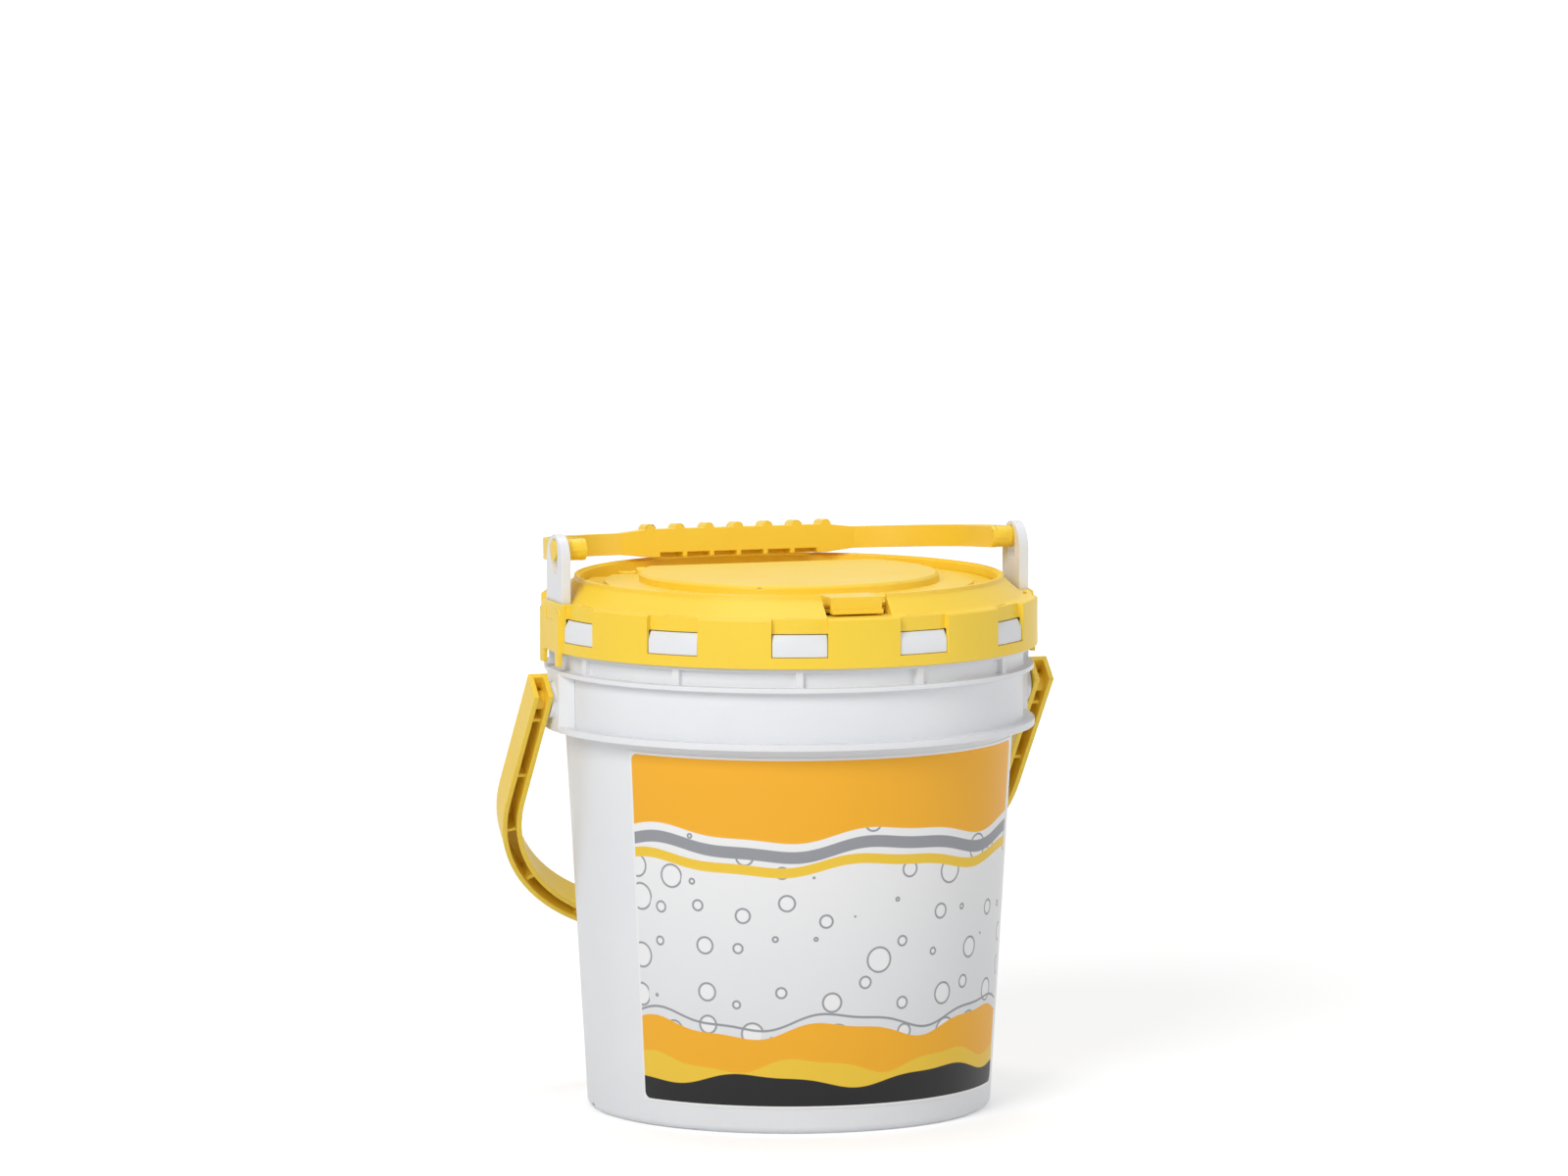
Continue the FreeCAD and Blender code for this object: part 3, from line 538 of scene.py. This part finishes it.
class BUCKET_OT_label(bpy.types.Operator):
    """Prints waves and bubbles on the film round the outer bucket"""

    bl_idname = "bucket.label"
    bl_label = "Print the label"

    def execute(self, context):
        inks = context.scene.bucket_label
        material = bpy.data.materials.new("Printed film")
        material.use_nodes = True
        tree = material.node_tree
        surface = tree.nodes["Principled BSDF"]
        surface.inputs["Specular IOR Level"].default_value = FILM_SPECULAR
        spot = place_group(tree, wrapped_place_group(), wrap_radius=inks.wrap_radius)
        colours = self.print_middle(tree, spot, inks)
        colours = self.print_waves(tree, spot, inks, colours)
        colours = blend_colours(tree, self.edge_mask(tree, spot, inks), colours, opaque(inks.ground))
        tree.links.new(colours, surface.inputs["Base Color"])
        marks = place_group(tree, moulded_skin_group(), **FILM_SKIN)
        gloss = calculate(tree, "MULTIPLY_ADD", marks["sheen"], FILM_SHEEN, FILM_ROUGHNESS)
        tree.links.new(gloss, surface.inputs["Roughness"])
        raise_surface(tree, surface, marks["height"], FILM_BUMP)
        film = frame["nodes"]["front_label"]
        film.data.materials.clear()
        film.data.materials.append(material)
        return {"FINISHED"}

    def print_middle(self, tree, spot, inks):
        """The film with a soft tint and bubbles between the two orange parts."""
        depth = calculate(tree, "SUBTRACT", inks.band_height, spot["height"])
        tint_rise = TINT_SHARE / (inks.band_height - inks.wave_height)
        tint = calculate(tree, "MULTIPLY", depth, tint_rise, clamped=True)
        colours = blend_colours(tree, tint, opaque(inks.ground), opaque(inks.water))
        bubbles = place_group(
            tree, bubble_mask_group(), along=spot["along"], height=spot["height"], **BUBBLES)
        colours = blend_colours(tree, bubbles["shine"], colours, opaque(inks.ground))
        colours = blend_colours(tree, bubbles["ring"], colours, opaque(inks.grey))
        return colours

    def print_waves(self, tree, spot, inks, colours):
        """The top band, the bands beside it and the waves along the bottom."""
        waves = wave_mask_group()

        def below(level, wave):
            mask = place_group(
                tree, waves, along=spot["along"], height=spot["height"], level=level,
                softness=WAVE_SOFTNESS, **wave)
            return mask["below"]

        def line(level, width, wave):
            return calculate(tree, "SUBTRACT", below(level, wave), below(level - width, wave), clamped=True)

        under_band = inks.band_height - BAND_GAP
        layers = (
            (calculate(tree, "SUBTRACT", 1.0, below(inks.band_height, TOP_WAVE)), inks.orange),
            (line(under_band, GREY_WIDTH, TOP_WAVE), inks.grey),
            (line(under_band - YELLOW_DROP, YELLOW_WIDTH, YELLOW_WAVE), inks.yellow),
            (line(inks.wave_height + LINE_GAP, LINE_WIDTH, GREY_WAVE), inks.grey),
            (below(inks.wave_height, ORANGE_WAVE), inks.orange),
            (below(inks.dark_height + CREST_RISE, CREST_WAVE), inks.yellow),
            (below(inks.dark_height, DARK_WAVE), inks.dark),
        )
        for mask, ink in layers:
            colours = blend_colours(tree, mask, colours, opaque(ink))
        return colours

    def edge_mask(self, tree, spot, inks):
        """1 in the bare margin round the print, which has rounded corners."""
        inset = inks.margin + inks.corner
        half_width = inks.wrap_radius * math.asin(-label_high.x / label_low.y) - inset
        half_height = (label_high.z - label_low.z) / 2 - inset
        rise = calculate(tree, "SUBTRACT", spot["height"], (label_high.z + label_low.z) / 2)
        squares = []
        for place, half in ((spot["along"], half_width), (rise, half_height)):
            beyond = calculate(tree, "SUBTRACT", calculate(tree, "ABSOLUTE", place), half)
            squares.append(calculate(tree, "POWER", calculate(tree, "MAXIMUM", beyond, 0.0), 2.0))
        reach = calculate(tree, "ADD", *squares)
        return calculate(tree, "GREATER_THAN", reach, inks.corner ** 2)


def seen_directly(tree):
    """1 for rays from the camera and for those that a glossy or clear surface sends on."""
    path = tree.nodes.new("ShaderNodeLightPath").outputs
    seen = calculate(tree, "MAXIMUM", path["Is Camera Ray"], path["Is Glossy Ray"])
    return calculate(tree, "MAXIMUM", seen, path["Is Transmission Ray"])


def stage_lamp(name, power, size, place):
    """A square soft lamp turned to the middle of the stage."""
    bpy.ops.object.light_add(type="AREA", location=place)
    lamp = bpy.context.object
    lamp.name = name
    lamp.data.shape = "SQUARE"
    lamp.data.size = size
    lamp.data.energy = power
    lamp.rotation_euler = (Vector(STAGE_MIDDLE) - Vector(place)).to_track_quat("-Z", "Y").to_euler()


class BUCKET_OT_stage(bpy.types.Operator):
    """Lays the floor, sets the lamps and places the camera"""

    bl_idname = "bucket.stage"
    bl_label = "Set the stage"

    def execute(self, context):
        stage = context.scene.bucket_stage
        context.scene.view_settings.view_transform = "Standard"
        self.lay_floor(stage)
        self.light_surroundings(context.scene, stage)
        stage_lamp("Key lamp", stage.key_power, stage.lamp_size, KEY_PLACE)
        stage_lamp("Fill lamp", stage.fill_power, stage.lamp_size, FILL_PLACE)
        stage_lamp("Top lamp", stage.top_power, stage.lamp_size, TOP_PLACE)
        self.place_camera(context.scene, stage)
        return {"FINISHED"}

    def lay_floor(self, stage):
        """A pale floor that is whitened where it is seen, more so far from the bucket."""
        bpy.ops.mesh.primitive_plane_add(size=FLOOR_SIZE)
        floor = bpy.context.object
        floor.name = "Floor"
        material = bpy.data.materials.new("Pale floor")
        material.use_nodes = True
        tree = material.node_tree
        surface = tree.nodes["Principled BSDF"]
        surface.inputs["Base Color"].default_value = FLOOR_COLOUR
        surface.inputs["Roughness"].default_value = FLOOR_ROUGHNESS
        surface.inputs["Specular IOR Level"].default_value = FLOOR_SPECULAR
        surface.inputs["Emission Color"].default_value = PURE_WHITE
        reach = tree.nodes.new("ShaderNodeVectorMath")
        reach.operation = "LENGTH"
        tree.links.new(object_place(tree), reach.inputs[0])
        rise = tree.nodes.new("ShaderNodeMapRange")
        rise.interpolation_type = "SMOOTHSTEP"
        tree.links.new(reach.outputs["Value"], rise.inputs["Value"])
        rise.inputs["From Min"].default_value = stage.near_reach
        rise.inputs["From Max"].default_value = stage.far_reach
        rise.inputs["To Min"].default_value = stage.near_glow
        rise.inputs["To Max"].default_value = stage.far_glow
        glow = calculate(tree, "MULTIPLY", seen_directly(tree), rise.outputs["Result"])
        tree.links.new(glow, surface.inputs["Emission Strength"])
        floor.data.materials.append(material)

    def light_surroundings(self, scene, stage):
        """Even light from all round, which looks white where it is seen."""
        world = bpy.data.worlds.new("Studio")
        world.use_nodes = True
        tree = world.node_tree
        background = tree.nodes["Background"]
        background.inputs["Color"].default_value = PURE_WHITE
        rise = calculate(tree, "MULTIPLY", seen_directly(tree), 1.0 - stage.surroundings)
        strength = calculate(tree, "ADD", rise, stage.surroundings)
        tree.links.new(strength, background.inputs["Strength"])
        scene.world = world

    def place_camera(self, scene, stage):
        """A camera with a long lens, turned round the bucket from its front."""
        turn = stage.camera_turn
        place = (
            stage.camera_distance * math.sin(turn),
            -stage.camera_distance * math.cos(turn),
            stage.camera_height,
        )
        bpy.ops.object.camera_add(
            location=place,
            rotation=(math.radians(90.0) - stage.camera_dip, 0.0, turn + stage.camera_heading))
        camera = bpy.context.object
        camera.data.sensor_width = SENSOR_WIDTH
        camera.data.lens = stage.camera_lens
        camera.data.clip_end = VIEW_REACH
        scene.camera = camera


operators = (
    BUCKET_OT_stage,
    BUCKET_OT_buckets,
    BUCKET_OT_strainer,
    BUCKET_OT_lid,
    BUCKET_OT_handles,
    BUCKET_OT_label,
)

settings = {
    "bucket_edges": EdgeSettings,
    "bucket_lugs": LugSettings,
    "bucket_plastics": PlasticSettings,
    "bucket_label": LabelSettings,
    "bucket_stage": StageSettings,
}


class BUCKET_PT_panel(bpy.types.Panel):
    """Lists the steps that dress the bucket, and their sizes and colours"""

    bl_idname = "BUCKET_PT_panel"
    bl_label = "Bait bucket"
    bl_space_type = "VIEW_3D"
    bl_region_type = "UI"
    bl_category = "Bait bucket"

    def draw(self, context):
        for operator in operators:
            self.layout.operator(operator.bl_idname)
        for name, group in settings.items():
            box = self.layout.box()
            for key in group.__annotations__:
                box.prop(getattr(context.scene, name), key)


classes = (*settings.values(), *operators, BUCKET_PT_panel)


def register():
    for kind in classes:
        bpy.utils.register_class(kind)
    for name, group in settings.items():
        setattr(bpy.types.Scene, name, PointerProperty(type=group))


def unregister():
    for name in settings:
        delattr(bpy.types.Scene, name)
    for kind in reversed(classes):
        bpy.utils.unregister_class(kind)


def main():
    register()
    bpy.ops.bucket.stage()
    bpy.ops.bucket.buckets()
    bpy.ops.bucket.strainer()
    bpy.ops.bucket.lid()
    bpy.ops.bucket.handles()
    bpy.ops.bucket.label()


if __name__ == "__main__":
    main()
